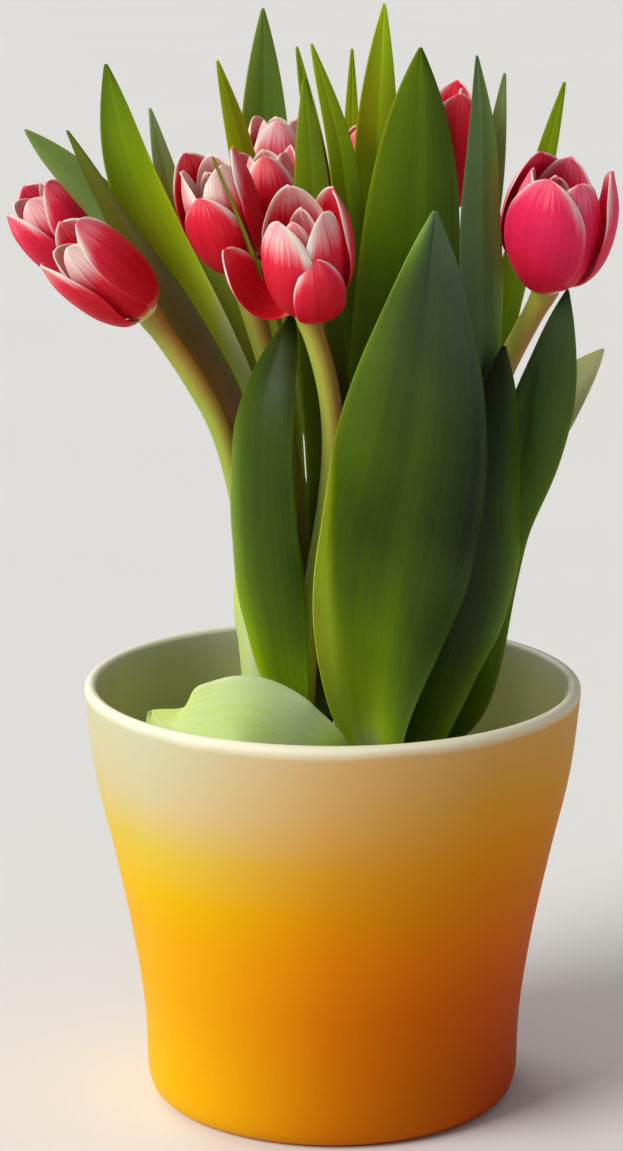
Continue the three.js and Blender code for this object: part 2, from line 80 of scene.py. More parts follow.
def apply_place(piece):
    select_only(piece)
    bpy.ops.object.transform_apply(location=True, rotation=True, scale=True)


def finish_piece(piece, node, angle=60):
    select_only(piece)
    bpy.ops.object.shade_smooth_by_angle(angle=math.radians(angle))
    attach(piece, "root")
    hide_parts(node)


def clamp(x):
    return min(1.0, max(0.0, x))


def smooth(x):
    x = clamp(x)
    return x * x * (3 - 2 * x)


def mix(a, b, t):
    return a + (b - a) * t


print("helpers ready")

# %% [markdown]
# ## Smooth paths
# Stems, leaves and petals all follow a curve through a few points. It is a centripetal Catmull-Rom
# curve, which passes through its points without loops. The curve is walked by its share of the
# length, so that 0 is the root and 1 the tip whatever the spacing of the points.


# %% A path through points
STEPS_PER_SPAN = 12
STRIDE = 0.02


class Path:
    def __init__(self, points):
        p = [Vector(q) for q in points]
        p = [2 * p[0] - p[1], *p, 2 * p[-1] - p[-2]]
        self.points = []
        for a, b, c, d in zip(p, p[1:], p[2:], p[3:]):
            da, db, dc = [max((v - u).length, 1e-6) ** 0.5 for u, v in ((a, b), (b, c), (c, d))]
            into = ((b - a) / da - (c - a) / (da + db) + (c - b) / db) * db
            out = ((c - b) / db - (d - b) / (db + dc) + (d - c) / dc) * db
            for k in range(STEPS_PER_SPAN):
                s = k / STEPS_PER_SPAN
                s2, s3 = s * s, s * s * s
                here = b * (2 * s3 - 3 * s2 + 1) + into * (s3 - 2 * s2 + s)
                self.points.append(here + c * (3 * s2 - 2 * s3) + out * (s3 - s2))
        self.points.append(p[-2])
        self.lengths = [0.0]
        for a, b in zip(self.points, self.points[1:]):
            self.lengths.append(self.lengths[-1] + (b - a).length)

    def at(self, t):
        reach = clamp(t) * self.lengths[-1]
        k = min(max(bisect_right(self.lengths, reach) - 1, 0), len(self.points) - 2)
        share = (reach - self.lengths[k]) / max(self.lengths[k + 1] - self.lengths[k], 1e-9)
        return self.points[k].lerp(self.points[k + 1], share)

    def along(self, t):
        return (self.at(t + STRIDE) - self.at(t - STRIDE)).normalized()


straight = Path([(0, 0, 0), (0, 0, 10), (0, 0, 30)])
print("a straight path is", round(straight.lengths[-1], 2), "mm long, its middle at", straight.at(0.5))

# %% [markdown]
# ## Node helpers
# Every finish is a small tree of nodes. These helpers add a node with its settings and links in one
# line, so that the recipe of each finish stays readable.


# %% Node helpers
class Recipe:
    def __init__(self, name):
        self.material = bpy.data.materials.new(name)
        self.material.use_nodes = True
        self.nodes = self.material.node_tree.nodes
        self.links = self.material.node_tree.links
        self.shader = self.nodes["Principled BSDF"]

    def node(self, kind, inputs=None, **settings):
        made = self.nodes.new("ShaderNode" + kind)
        for key, value in settings.items():
            setattr(made, key, value)
        for key, value in (inputs or {}).items():
            if isinstance(value, bpy.types.NodeSocket):
                self.links.new(value, made.inputs[key])
            else:
                made.inputs[key].default_value = value
        return made

    def object_place(self):
        return self.node("TexCoord").outputs["Object"]

    def uv(self):
        return self.node("UVMap").outputs["UV"]

    def noise(self, vector, scale, detail=2.0, rough=0.5, stretch=(1, 1, 1)):
        spread = self.node("Mapping", {"Vector": vector, "Scale": stretch})
        inputs = {"Vector": spread.outputs[0], "Scale": scale, "Detail": detail, "Roughness": rough}
        return self.node("TexNoise", inputs).outputs["Fac"]

    def math(self, operation, a, b=0.5, c=0.0, clamped=False):
        return self.node("Math", {0: a, 1: b, 2: c}, operation=operation, use_clamp=clamped).outputs[0]

    def attribute(self, name):
        return self.node("Attribute", attribute_name=name).outputs["Fac"]

    def blend(self, factor, a, b):
        made = self.node("Mix", data_type="RGBA")
        for socket, value in zip((made.inputs[0], made.inputs[6], made.inputs[7]), (factor, a, b)):
            if isinstance(value, bpy.types.NodeSocket):
                self.links.new(value, socket)
            else:
                socket.default_value = value
        return made.outputs[2]

    def ramp(self, factor, *stops):
        made = self.node("ValToRGB", {"Fac": factor})
        points = made.color_ramp.elements
        points.remove(points[1])
        points[0].position, points[0].color = stops[0]
        for place, color in stops[1:]:
            points.new(place).color = color
        return made.outputs["Color"]

    def bump(self, height, strength, distance):
        inputs = {"Height": height, "Strength": strength, "Distance": distance}
        self.links.new(self.node("Bump", inputs).outputs[0], self.shader.inputs["Normal"])

    def finish(self, color, **constants):
        self.links.new(color, self.shader.inputs["Base Color"])
        for key, value in constants.items():
            self.shader.inputs[key.replace("_", " ")].default_value = value
        return self.material


def paint(r, g, b):
    """A colour given as it looks on screen, from 0 to 255, as the renderer wants it."""
    shares = (r / 255, g / 255, b / 255)
    return (*[x / 12.92 if x <= 0.04045 else ((x + 0.055) / 1.055) ** 2.4 for x in shares], 1.0)


print("mid grey is", [round(x, 3) for x in paint(128, 128, 128)])

# %% [markdown]
# ## The pot
# The pot is turned: a round foot, a wall that flares gently upwards, and a soft lip. We lay down the
# foot as a filled circle and extrude it ring by ring, sizing each ring, up the outside, over the lip
# and down the inside. One continuous wall comes out, closed at the bottom and open above.

# %% Pot profile
POT_HEIGHT, RIM_RADIUS, WALL, POT_FLOOR, FOOT_RADIUS = 138, 80, 4, 6, 55
LIP, CORNER, WALL_RINGS = 2, 3, 36
POT_WALL = [(60.8, 8), (61.6, 28), (65.4, 55), (71.1, 83), (77.1, 110), (80, 135)]
FOOT_EDGE = [(55.4, 0.1), (57.5, 0.9), (59.3, 2.6), (60.2, 5)]
wall_path = Path([(r, 0, z) for r, z in POT_WALL])
outer_wall = [wall_path.at(k / WALL_RINGS) for k in range(WALL_RINGS + 1)]


def arc(cx, cz, radius, start, end, steps):
    angles = [math.radians(mix(start, end, k / steps)) for k in range(steps + 1)]
    return [(cx + radius * math.cos(a), cz + radius * math.sin(a)) for a in angles]


pot_profile = FOOT_EDGE + [(p.x, p.z) for p in outer_wall]
pot_profile += arc(RIM_RADIUS - LIP, POT_HEIGHT - LIP, LIP, 10, 170, 10)
pot_profile += [(p.x - WALL, p.z) for p in reversed(outer_wall) if p.z < POT_HEIGHT - 2 * LIP]
pot_profile += arc(POT_WALL[0][0] - WALL - CORNER, POT_FLOOR + CORNER, CORNER, 0, -80, 4)
print("pot profile:", len(pot_profile), "rings")


# %% Turn the pot
def extrude_rings(piece, start, profile):
    """Extrudes the whole piece through rings of (radius, height); start is the ring it has now."""
    radius, height = start
    select_only(piece)
    bpy.ops.object.mode_set(mode="EDIT")
    bpy.ops.mesh.select_all(action="SELECT")
    for next_radius, next_height in profile:
        lift = (0, 0, (next_height - height) * MM)
        bpy.ops.mesh.extrude_region_move(TRANSFORM_OT_translate={"value": lift})
        grow = next_radius / radius
        bpy.ops.transform.resize(value=(grow, grow, 1), center_override=(0, 0, next_height * MM))
        radius, height = next_radius, next_height
    bpy.ops.mesh.select_all(action="SELECT")
    bpy.ops.mesh.normals_make_consistent(inside=False)
    bpy.ops.object.mode_set(mode="OBJECT")


foot = {"vertices": 144, "radius": FOOT_RADIUS * MM, "fill_type": "NGON"}
pot = new_primitive(bpy.ops.mesh.primitive_circle_add, "Pot", **foot)
extrude_rings(pot, (FOOT_RADIUS, 0), pot_profile)
for face in pot.data.polygons:
    across = math.hypot(face.center.x, face.center.y) / MM
    inward = face.normal.x * face.center.x + face.normal.y * face.center.y < 0
    inner_floor = face.normal.z > 0.5 and face.center.z < 0.05
    face.material_index = 1 if across < RIM_RADIUS and (inward or inner_floor) else 0
print("pot faces:", len(pot.data.polygons), "inside:", sum(f.material_index for f in pot.data.polygons))

# %% [markdown]
# The glaze is sprayed: cream at the rim, melting into yellow on the left and into deep orange on the
# right. The orange side also carries painted shade: it grows darker towards the foot on the right,
# where the light falls away. So there are two rows of shades that follow the height on the pot,
# disturbed by a soft cloud, and one gives way to the other from left to right. The surface has a faint
# ripple, as fired glaze has. The inside is glazed cream all over, a little greener in its depth.

# %% Glaze
glaze = Recipe("glaze")
place = glaze.object_place()
axes = glaze.node("SeparateXYZ", {0: place})
cloud = glaze.noise(place, 16, detail=3)
height = glaze.math("MULTIPLY", axes.outputs["Z"], 1 / (POT_HEIGHT * MM))
level = glaze.math("MULTIPLY_ADD", cloud, 0.03, glaze.math("SUBTRACT", height, 0.015))
yellow_side = glaze.ramp(
    level,
    (0.07, paint(237, 180, 0)),
    (0.32, paint(237, 172, 0)),
    (0.48, paint(238, 176, 0)),
    (0.58, paint(236, 188, 0)),
    (0.7, paint(226, 196, 72)),
    (0.83, paint(214, 199, 150)),
    (0.972, paint(208, 206, 168)),
    (0.992, paint(246, 243, 216)),
)
# The orange side is partly the glaze's own orange and partly painted shade, darker towards the foot.
orange_and_shaded_side = glaze.ramp(
    level,
    (0.08, paint(188, 70, 0)),
    (0.32, paint(208, 84, 0)),
    (0.48, paint(224, 108, 0)),
    (0.58, paint(222, 122, 0)),
    (0.7, paint(224, 138, 0)),
    (0.83, paint(222, 154, 44)),
    (0.972, paint(220, 164, 86)),
    (0.992, paint(242, 234, 204)),
)
# From left to right the yellow side gives way to the orange one, which carries painted shade.
rightward = glaze.math("MULTIPLY_ADD", axes.outputs["X"], 0.5 / (RIM_RADIUS * MM), 0.5)
orange_and_shade_share = [(0.14, 0), (0.25, 0.2), (0.36, 0.44), (0.5, 0.72), (0.62, 0.82), (0.74, 0.92), (0.81, 1)]
share = glaze.ramp(rightward, *[(x, (g, g, g, 1)) for x, g in orange_and_shade_share])
glaze.bump(glaze.noise(place, 60, detail=2), 0.03, 0.002)
glaze.finish(glaze.blend(share, yellow_side, orange_and_shaded_side), Roughness=0.5, Specular_IOR_Level=0.05)

cream = Recipe("glaze inside")
place = cream.object_place()
depth = cream.node("SeparateXYZ", {0: place}).outputs["Z"]
shades = cream.ramp(
    cream.math("MULTIPLY", depth, 1 / (POT_HEIGHT * MM)),
    (0.7, paint(250, 246, 160)),
    (0.9, paint(252, 250, 186)),
    (0.98, paint(246, 243, 216)),
)
cream.bump(cream.noise(place, 60, detail=2), 0.04, 0.002)
cream.finish(shades, Roughness=0.35)

pot.data.materials.append(glaze.material)
pot.data.materials.append(cream.material)
finish_piece(pot, "pot", angle=50)
print("pot is", round(pot.dimensions.z / MM, 1), "mm tall with", len(pot.data.materials), "finishes")

# %% [markdown]
# ## The compost
# Compost is a loose, lumpy crumb. A fine grid is cut to a disc a little wider than the pot's inside,
# so that its edge is buried in the wall. Its top is pushed up and down by noise, and it is extruded
# down nearly to the pot's floor. Small rough crumbs are then strewn over it, each with its own turn
# and size.

# %% Compost
SOIL_TOP, SOIL_SPAN, SOIL_EDGE = 100, 150, 72.4
SOIL_SIDE = [(68, 83), (62.6, 55), (58.6, 30), (57.4, 9)]
LUMP, SINK = 1.6, 1.0
fine_grid = {"x_subdivisions": 120, "y_subdivisions": 120, "size": SOIL_SPAN * MM}
compost = new_primitive(
    bpy.ops.mesh.primitive_grid_add, "Compost", location=(0, 0, SOIL_TOP * MM), **fine_grid
)
apply_place(compost)
bpy.ops.object.mode_set(mode="EDIT")
bpy.ops.mesh.select_all(action="DESELECT")
bpy.ops.object.mode_set(mode="OBJECT")
for vertex in compost.data.vertices:
    vertex.select = math.hypot(vertex.co.x, vertex.co.y) > SOIL_EDGE * MM
bpy.ops.object.mode_set(mode="EDIT")
bpy.ops.mesh.delete(type="VERT")
bpy.ops.object.mode_set(mode="OBJECT")
for vertex in compost.data.vertices:
    vertex.co.z += (LUMP * noise.fractal(vertex.co * 140, 0.9, 2.2, 4) - SINK) * MM
extrude_rings(compost, (SOIL_EDGE, SOIL_TOP), SOIL_SIDE)
print("compost faces:", len(compost.data.polygons))

# %% Crumbs
rng = random.Random(7)
CRUMB_COUNT, STREWN_RADIUS, CRUMB_HEIGHT = 260, 70, SOIL_TOP - 0.6


def crumb_at(x, y, size):
    ball = {"subdivisions": 1, "radius": size * MM, "location": (x * MM, y * MM, CRUMB_HEIGHT * MM)}
    ball["rotation"] = [rng.uniform(0, math.tau) for _ in range(3)]
    crumb = new_primitive(bpy.ops.mesh.primitive_ico_sphere_add, "Crumb", **ball)
    crumb.scale = [rng.uniform(0.6, 1.2) for _ in range(3)]
    return crumb


crumbs = []
for k in range(CRUMB_COUNT):
    reach, turn = STREWN_RADIUS * math.sqrt(rng.random()), rng.uniform(0, math.tau)
    crumbs.append(crumb_at(reach * math.cos(turn), reach * math.sin(turn), rng.uniform(0.7, 2.0)))
select_only(compost, *crumbs)
bpy.ops.object.join()
apply_place(compost)
print("compost with crumbs:", len(compost.data.polygons), "faces")

# %% Compost finish
earth = Recipe("compost")
place = earth.object_place()
grain = earth.noise(place, 260, detail=6, rough=0.7)
patch = earth.noise(place, 60, detail=2)
shades = earth.ramp(
    earth.math("MULTIPLY_ADD", patch, 0.4, earth.math("MULTIPLY", grain, 0.7)),
    (0.3, paint(22, 14, 9)),
    (0.52, paint(58, 40, 28)),
    (0.75, paint(104, 78, 56)),
)
earth.bump(grain, 0.9, 0.002)
earth.finish(shades, Roughness=0.95, Specular_IOR_Level=0.2)
compost.data.materials.append(earth.material)
finish_piece(compost, "soil", angle=35)
print("compost finish ready")

# %% [markdown]
# ## Sheets that follow a path
# A stem, a leaf and a petal are all a flat grid at heart: a stem is the grid rolled into a tube, a
# leaf and a petal are the grid cupped and bent. The grid keeps its UV map while it is bent, so the
# finishes can run their veins along it. Points also carry tones, worked out from their place.


# %% Bend a grid
def bent_grid(name, columns, rows, place, tones):
    """place(u, t) and each tone(u, t) take u from -1 to 1 across and t from 0 to 1 along."""
    grid = {"x_subdivisions": columns, "y_subdivisions": rows, "size": 2}
    piece = new_primitive(bpy.ops.mesh.primitive_grid_add, name, **grid)
    spots = [(v.co.x, (v.co.y + 1) / 2) for v in piece.data.vertices]
    for vertex, (u, t) in zip(piece.data.vertices, spots):
        vertex.co = place(u, t) * MM
    for tone, value in tones.items():
        attribute = piece.data.attributes.new(tone, "FLOAT", "POINT")
        attribute.data.foreach_set("value", [value(u, t) for u, t in spots])
    return piece


def merge_seams(piece):
    select_only(piece)
    bpy.ops.object.mode_set(mode="EDIT")
    bpy.ops.mesh.select_all(action="SELECT")
    bpy.ops.mesh.remove_doubles(threshold=0.01 * MM)
    bpy.ops.mesh.normals_make_consistent(inside=False)
    bpy.ops.object.mode_set(mode="OBJECT")


print("a bent grid of 10 by 20 has", 11 * 21, "points")


# %% Give a sheet its thickness
BLADE, MARGIN_SHARE = 0.8, 0.5
SECTION_STEPS = 10


def thicken(piece):
    """The sheet is thickest along its middle and thins to a share of that at the margins."""
    body = piece.vertex_groups.new(name="body")
    across = piece.data.attributes["across"].data
    for k, value in enumerate(across):
        body.add([k], 1 - abs(value.value) ** 3, "REPLACE")
    apply_modifier(
        piece,
        "SOLIDIFY",
        thickness=BLADE * MM,
        offset=0,
        vertex_group="body",
        thickness_vertex_group=MARGIN_SHARE,
        material_offset=1,
    )
    apply_modifier(piece, "SUBSURF", levels=1, render_levels=1)
    piece.vertex_groups.clear()
    return piece


def section(u, cup, curl=0.0):
    """Across a blade of half-width 1: how far out u lies, and how high the cup lifts it."""
    out = rise = 0.0
    for k in range(SECTION_STEPS):
        v = abs(u) * (k + 0.5) / SECTION_STEPS
        slope = cup * v + curl * smooth((v - 0.4) / 0.6)
        out += abs(u) / SECTION_STEPS * math.cos(slope)
        rise += abs(u) / SECTION_STEPS * math.sin(slope)
    return math.copysign(out, u), rise


print("a cup of 0.6 lifts the margin", round(section(1, 0.6)[1], 3), "half-widths")

# %% [markdown]
# ## The plants
# Each plant has a foot in the compost, a few bends in its stem, and a bloom from base to tip. The
# numbers are those of the model, so every finer piece sits where its plain solid is. spin turns the
# bloom about its own axis, and open tips each petal outwards by so many degrees. nudge, tall and wide
# turn, stretch or widen single petals, in the same order.

# %% Plants
PLANTS = {
    "far_left": {
        "foot": (-20, 18),
        "bends": [(-20, 23, 150), (-23, 29, 200), (-41, 33, 238)],
        "base": (-79, 31, 267), "tip": (-98, 24, 292), "radius": 11.6, "spin": 215,
        "open": (4, 2, 5, 0, 2, 0),
    },
    "left": {
        "foot": (-21, -8),
        "bends": [(-22, -8, 150), (-26, -8, 183), (-35, -8, 221), (-45, -9, 240)],
        "base": (-58, -9, 259), "tip": (-83, -21, 285), "radius": 11.8, "spin": -148,
        "open": (7, 0, 4, 3, 2, 3), "tall": (1.02, 1.04, 1, 1, 0.96, 0.94), "wide": (0.9, 0.84, 1, 0.9),
    },
    "centre_left": {
        "foot": (-5, 5),
        "bends": [(-10, 6, 160), (-17, 7, 225)],
        "base": (-30, 4, 271), "tip": (-40, -6, 306), "radius": 11.8, "spin": -112,
        "open": (5, 3, 4, 2, 0, 3), "tall": (0.8, 1.04, 1.04, 1, 1, 1),
    },
    "front": {
        "foot": (-10, -22),
        "bends": [(-8, -23, 156), (-1, -24, 203), (0, -24, 223), (-2, -23, 240)],
        "base": (-8, -22, 261), "tip": (-11, -38, 298), "radius": 14.6, "spin": 42,
        "open": (6, 40, 8, 4, 3, 3), "nudge": (-12, 0, 9, 0, 8, -12),
        "tall": (1, 0.74, 0.66, 1.02, 0.94, 0.96), "wide": (0.9, 0.66, 0.58, 1, 1, 0.9),
    },
    "middle": {
        "foot": (12, 9),
        "bends": [(5, 12, 155), (-6, 18, 215)],
        "base": (-16, 24, 268), "tip": (-22, 21, 306), "radius": 10.5, "spin": 150,
        "open": (4, 3, 5, 0, 2, 1),
    },
    "back_left": {
        "foot": (-9, 35),
        "bends": [(-12, 38, 160), (-16, 43, 225)],
        "base": (-18, 48, 278), "tip": (-18, 47, 314), "radius": 9.8, "spin": -90,
        "open": (2, 2, 3, 1, 1, 0),
    },
    "back": {
        "foot": (13, 35),
        "bends": [(12, 37, 160), (11, 41, 225)],
        "base": (11, 43, 274), "tip": (11, 43, 312), "radius": 10.5, "spin": 60,
        "open": (4, 2, 5, 2, 0, 2),
    },
    "back_right": {
        "foot": (32, 17),
        "bends": [(32, 20, 160), (32, 25, 225)],
        "base": (32, 28, 284), "tip": (33, 24, 327), "radius": 12.4, "spin": -60,
        "open": (8, 9, 3, 3, 5, 2),
    },
    "right": {
        "foot": (25, -8),
        "bends": [(30, -5, 155), (41, -1, 200), (52, -1, 235)],
        "base": (67, -4, 266), "tip": (70, -21, 306), "radius": 15.8, "spin": -115,
        "open": (0, 9, 2, 3, 2, 2), "wide": (1, 0.8),
    },
}
print("plants:", ", ".join(PLANTS))

# %% [markdown]
# ## Stems
# A tulip's stem is a smooth, juicy tube, a little thinner above and swelling just under the bloom.
# The grid is rolled round the stem's path. Its first and last rows shrink to a point, which closes
# the ends inside the compost and inside the bloom.

# %% Roll the stems
STEM_RADIUS = 3.7
STEM_COLUMNS, STEM_ROWS = 20, 56


def stem_place(path, wobble):
    """Thinner above, swelling over the last twentieth, and nowhere quite even."""

    def place(u, v):
        t = clamp((v * STEM_ROWS - 1) / (STEM_ROWS - 2))
        along = path.along(t)
        left = along.cross(Vector((0, 1, 0))).normalized()
        front = along.cross(left)
        turn = math.pi * u
        radius = STEM_RADIUS * (1.04 - 0.1 * t + 0.22 * smooth((t - 0.95) / 0.05))
        radius *= 1 + 0.02 * math.sin(9 * t + wobble)
        if v in (0, 1):
            radius = 0
        return path.at(t) + (left * math.cos(turn) + front * math.sin(turn)) * radius

    return place


stems = {}
for order, (name, plant) in enumerate(PLANTS.items()):
    x, y = plant["foot"]
    path = Path([(x, y, SOIL_TOP - 12), (x, y, SOIL_TOP + 6), *plant["bends"], plant["base"]])
    # Round each stem the flush grows towards its right side, away from the light: partly painted shade.
    tones = {"flush_and_shade": lambda u, t: 0.5 - 0.5 * math.cos(math.pi * u)}
    stem = bent_grid("Stem_" + name, STEM_COLUMNS, STEM_ROWS, stem_place(path, order), tones)
    merge_seams(stem)
    stems[name] = stem
print("stems:", len(stems), "with", len(stem.data.polygons), "faces each")

# %% [markdown]
# The stems are yellow-green with a brownish-pink flush down one side, stronger near the bloom, and
# very fine lines along them. The flush lies on the right side of every stem, away from the light, and
# is painted shade there as well as the stem's own colour.

# %% Stem finish
stalk = Recipe("stem")
uv = stalk.uv()
length = stalk.node("SeparateXYZ", {0: uv}).outputs["Y"]
lines = stalk.noise(uv, 1, detail=2, stretch=(34, 2, 1))
clouds = stalk.noise(stalk.object_place(), 45, detail=2)
# The brownish flush is partly the stem's own colour and partly painted shade on its unlit side.
flush_and_shade = stalk.math("MULTIPLY_ADD", length, 0.8, stalk.math("MULTIPLY_ADD", clouds, 0.5, -1.0))
flush_and_shade = stalk.math("ADD", flush_and_shade, stalk.attribute("flush_and_shade"))
green = stalk.blend(lines, paint(150, 168, 44), paint(178, 194, 78))
warm = stalk.blend(lines, paint(168, 112, 48), paint(196, 150, 68))
color = stalk.blend(stalk.math("MULTIPLY", flush_and_shade, 1.1, clamped=True), green, warm)
stalk.bump(lines, 0.1, 0.0005)
stalk.finish(color, Roughness=0.42, Specular_IOR_Level=0.3, Subsurface_Weight=0.1, Subsurface_Scale=0.003)
for name, stem in stems.items():
    stem.data.materials.append(stalk.material)
    finish_piece(stem, "stem_" + name)
print("stem finish ready")

# %% [markdown]
# ## Petals
# A tulip's bloom has three outer and three inner petals. Closed, they are patches of one rounded
# cup. So a petal's middle line follows the cup's side, its width wraps round the cup, and an opened
# petal is tipped outwards about its root. A small inner pair fills the heart. Each petal is twisted
# a little, so that one margin slips under the next petal and the other lies over it.

# %% Petal shape
BULB_SIDE = [(0, 0.02), (0.5, 0.08), (0.88, 0.25), (1.0, 0.47), (0.88, 0.76), (0.48, 1)]
BULB_WIDEST, ROOT_HALF_WIDTH, TIP_HALF_WIDTH = 0.55, 2.2, 0.5
HINGE_HEIGHT, STEEPEST_CUP = 3, 1.25
TWIST, RUFFLE, CRIMP, RIB = 0.7, 0.4, 0.15, 0.3
WHORLS = {
    "outer": {"scale": 1, "tall": 1, "root": 3.6, "wide": 1.06},
    "middle": {"scale": 0.82, "tall": 0.98, "root": 2.2, "wide": 0.94},
    "heart": {"scale": 0.5, "tall": 0.86, "root": 1, "wide": 0.5},
}
UP = Vector((0, 0, 1))


def petal_half_width(t, widest):
    if t < BULB_WIDEST:
        return mix(ROOT_HALF_WIDTH, widest, math.sin(math.pi / 2 * t / BULB_WIDEST))
    beyond = (t - BULB_WIDEST) / (1 - BULB_WIDEST)
    return TIP_HALF_WIDTH + (widest - TIP_HALF_WIDTH) * (1 - beyond**2.6) ** 0.7


def petal_place(whorl, bloom_radius, bloom_height, turn, lean, tall, wide):
    """turn is the way the petal faces, and lean the degrees by which it is tipped outwards."""
    w = WHORLS[whorl]
    radius, height = bloom_radius * w["scale"], bloom_height * w["tall"] * tall
    side = Path([(w["root"] + r * (radius - w["root"]), 0, z * height) for r, z in BULB_SIDE])
    outward = Vector((math.cos(turn), math.sin(turn), 0))
    tilt = Quaternion((-outward.y, outward.x, 0), math.radians(lean))
    hinge = outward * w["root"] + UP * HINGE_HEIGHT
    rows = {}

    def row(v):
        t = 1 - (1 - v) ** 1.3
        flat, heading = side.at(t), side.along(t)
        point = tilt @ (outward * flat.x + UP * flat.z - hinge) + hinge
        along = tilt @ (outward * heading.x + UP * heading.z)
        inward = tilt @ -outward
        normal = (inward - along * inward.dot(along)).normalized()
        reach = petal_half_width(t, bloom_radius * w["wide"] * wide)
        return t, point, normal, along.cross(normal), reach, min(STEEPEST_CUP, reach / flat.x)

    def place(u, v):
        if v not in rows:
            rows[v] = row(v)
        t, point, normal, sideways, reach, cup = rows[v]
        out, rise = section(u, cup)
        lift = rise * reach + TWIST * u * smooth(t / 0.4)
        lift += RUFFLE * u * u * math.sin(7 * t + 3 * turn) + CRIMP * u**4 * math.sin(15 * t + 5 * turn)
        lift += RIB * math.exp(-((u / 0.14) ** 2)) * smooth(t / 0.3)
        return point + sideways * out * reach + normal * lift

    return place


sample = petal_place("outer", 14, 42, 0, 0, 1, 1)
print("an outer petal reaches from", sample(0, 0).to_tuple(1), "to", sample(0, 1).to_tuple(1))

# %% [markdown]
# The blush of a petal is a crimson flame up its middle that fades softly to a pale margin, widest
# round the tip. How pale differs from bloom to bloom, with one value for the outer petals and one for
# those within. The tones are worked out per point, and the finish then feathers them along the petal.
# Some blooms lean towards a cooler rose, partly their own hue and partly a painted magenta sheen on
# the upper petals. A small round seat joins the petals to the stem.

# %% Blooms
PALENESS = {
    "far_left": (0.4, 1.1), "left": (0.5, 1.2), "centre_left": (0.3, 1.1),
    "front": (0.3, 0.9), "middle": (0.5, 0.8), "right": (0.3, 0.6),
    "back_left": (0.9, 1.1), "back": (0.3, 0.6), "back_right": (0.2, 0.4),
}
# How far each bloom leans to a cooler rose: partly its own hue, partly a painted magenta sheen.
ROSE_AND_SHEEN = {"right": 0.24, "far_left": 0.1, "back_left": 0.1}
HEART_DEPTH = {"outer": 0.0, "middle": 0.2, "heart": 0.4}
PETALS, PETAL_COLUMNS, PETAL_ROWS = 8, 12, 20
SEAT_RADIUS, SEAT_SIDE = 4.2, [(4.9, 1.5), (5.2, 3.4), (4.4, 5), (2, 5.6)]


def petal_blush(pale, turn):
    def blush(u, v):
        fringe = 0.2 + 0.35 * v * v
        edge = (1 - smooth((1 - abs(u)) / fringe)) * (0.3 + 0.7 * smooth(v / 0.6))
        end = smooth((v - 0.45 + 0.15 * pale) / 0.5) * (0.7 + 0.3 * u * u)
        wander = 0.08 * math.sin(5 * v + 4 * turn) * u
        flame = 1 - 0.34 * smooth((v - 0.2) / 0.7)
        return clamp(flame - edge * (0.3 + 0.2 * pale) - end * (0.16 + 0.56 * pale) + wander)

    return blush


def make_petal(whorl, plant, height, azimuth, lean, tall, wide, pale, rose_and_sheen):
    turn = math.radians(azimuth)
    place = petal_place(whorl, plant["radius"], height, turn, lean, tall, wide)
    tones = {
        "across": lambda u, v: u,
        "blush": petal_blush(pale, turn),
        "heart": lambda u, v: HEART_DEPTH[whorl],
        "rose_and_sheen": lambda u, v: rose_and_sheen * smooth(v / 0.6),
    }
    return thicken(bent_grid("Petal", PETAL_COLUMNS, PETAL_ROWS, place, tones))


def bloom_seat():
    disc = {"vertices": 24, "radius": SEAT_RADIUS * MM, "fill_type": "NGON"}
    seat = new_primitive(bpy.ops.mesh.primitive_circle_add, "Seat", **disc)
    extrude_rings(seat, (SEAT_RADIUS, 0), SEAT_SIDE)
    return seat


def bloom_piece(name, plant):
    base, axis = Vector(plant["base"]), Vector(plant["tip"]) - Vector(plant["base"])
    spin, rose_and_sheen = plant["spin"], ROSE_AND_SHEEN.get(name, 0)
    opened, nudge, tall, wide = [
        (*plant.get(key, ()), *[usual] * PETALS)[:PETALS]
        for key, usual in (("open", 0), ("nudge", 0), ("tall", 1), ("wide", 1))
    ]
    stand = [("outer", spin + 120 * k) for k in range(3)]
    stand += [("middle", spin + 60 + 120 * k) for k in range(3)]
    stand += [("heart", spin + 30 + 180 * k) for k in range(2)]
    made = [
        make_petal(
            whorl, plant, axis.length, azimuth + nudge[k], opened[k], tall[k], wide[k],
            PALENESS[name][0 if whorl == "outer" else 1], rose_and_sheen,
        )
        for k, (whorl, azimuth) in enumerate(stand)
    ]
    bloom = made[0]
    select_only(bloom, *made[1:], bloom_seat())
    bpy.ops.object.join()
    bloom.name = bloom.data.name = "Bloom_" + name
    bloom.rotation_mode = "QUATERNION"
    bloom.rotation_quaternion = UP.rotation_difference(axis)
    bloom.location = base * MM
    apply_place(bloom)
    return bloom


blooms = {name: bloom_piece(name, plant) for name, plant in PLANTS.items()}
print("blooms:", {name: len(b.data.polygons) for name, b in blooms.items()})

# %% [markdown]
# Inside, a petal is a deeper red than outside, where a faint silky sheen makes it pinker. Both sides
# share one recipe with their own shades. Fine streaks show only where the red gives way to the pale
# margin, and a small yellow patch sits at the root.


